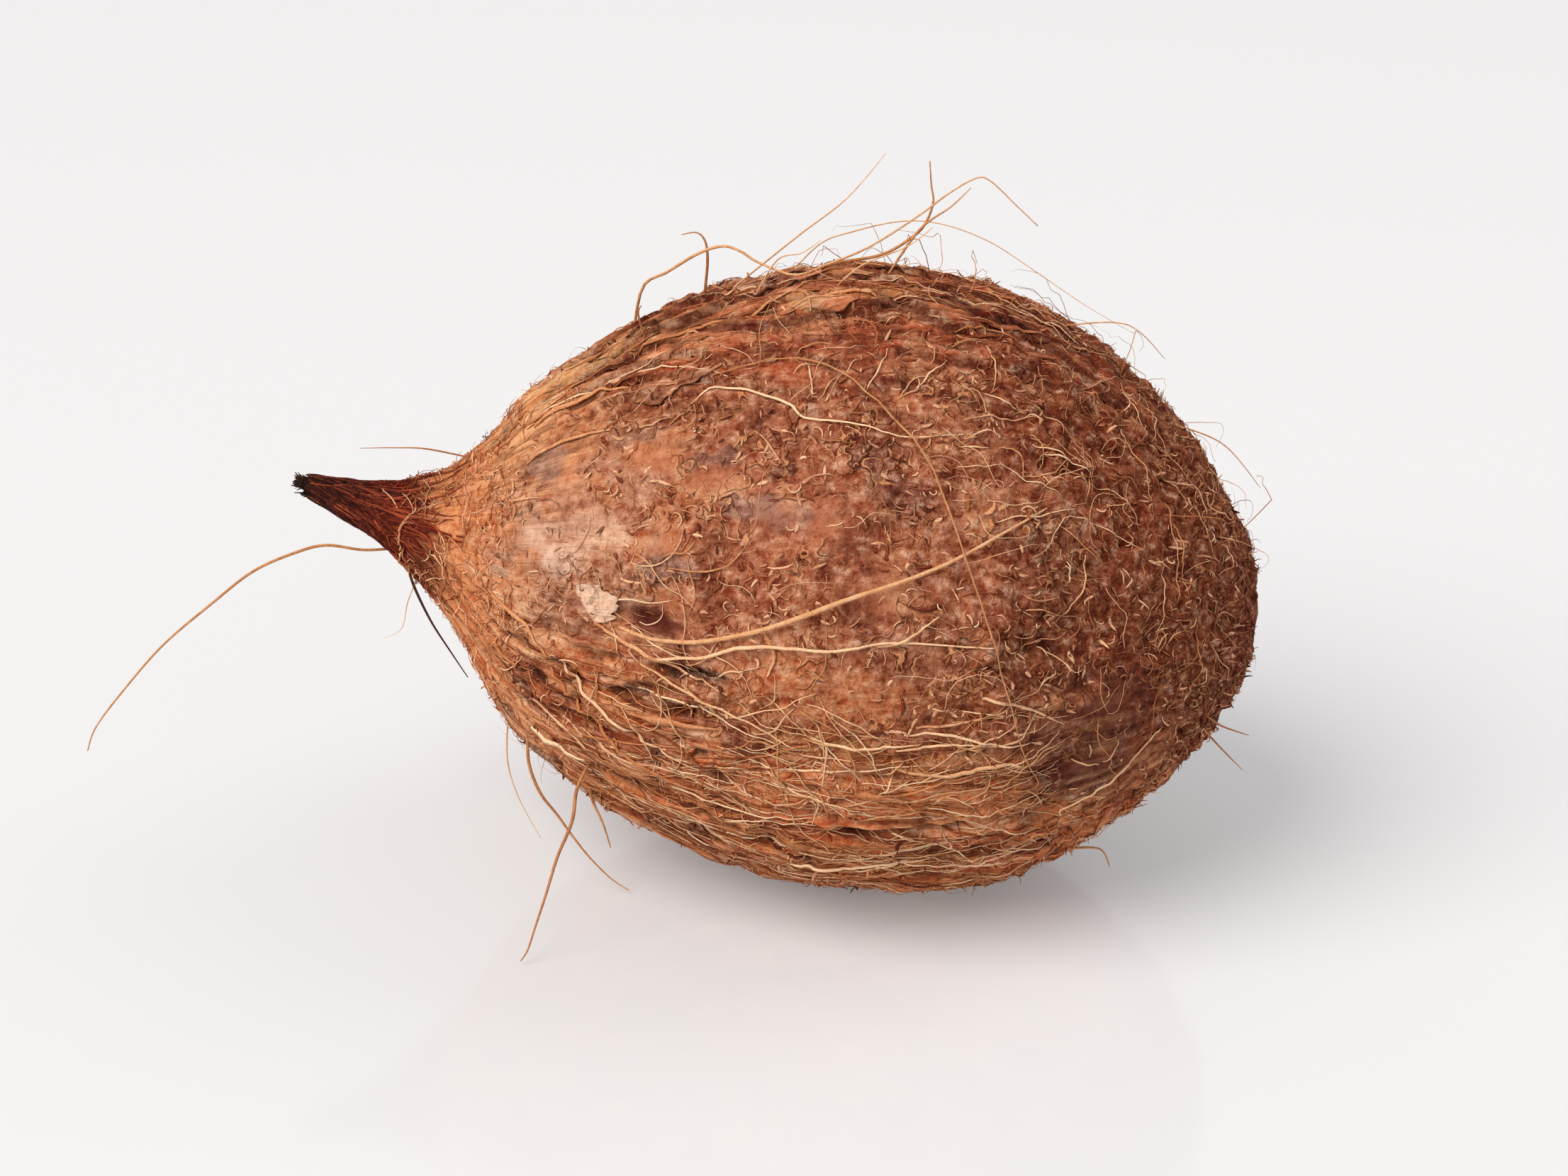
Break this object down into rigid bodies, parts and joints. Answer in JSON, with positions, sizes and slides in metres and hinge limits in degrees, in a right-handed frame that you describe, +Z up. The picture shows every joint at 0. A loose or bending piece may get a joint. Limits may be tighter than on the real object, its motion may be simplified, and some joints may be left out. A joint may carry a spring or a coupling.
{
  "type": "coconut",
  "caption": "Semi-husked brown coconut on its side: egg-shaped nut in coir, pointed tuft at one end, long loose fibres.",
  "frame": {"origin": "middle of the small flat spot that the nut rests on, on the surface", "axes": "+X along the nut from the tuft to the round base, +Z up, +Y to the back"},
  "size_m": [0.1977, 0.1048, 0.123],
  "materials": {
    "coir_skin": "dry matted brown coir over pith, matt",
    "coir_fibre": "dry golden tan coir fibre, satin"
  },
  "bodies": {
    "root": {"nut_with_tuft": "coir_skin", "loose_fibre_tuft_long": "coir_fibre", "loose_fibre_neck_lower": "coir_fibre", "loose_fibre_neck_upper": "coir_fibre", "loose_fibre_crest_long": "coir_fibre", "loose_fibre_crest_bent": "coir_fibre", "loose_fibre_crest_straight": "coir_fibre", "loose_fibre_crest_arched": "coir_fibre", "loose_fibre_crest_hook": "coir_fibre", "loose_fibre_foot_long": "coir_fibre", "loose_fibre_foot_short": "coir_fibre"}
  },
  "joints": []
}
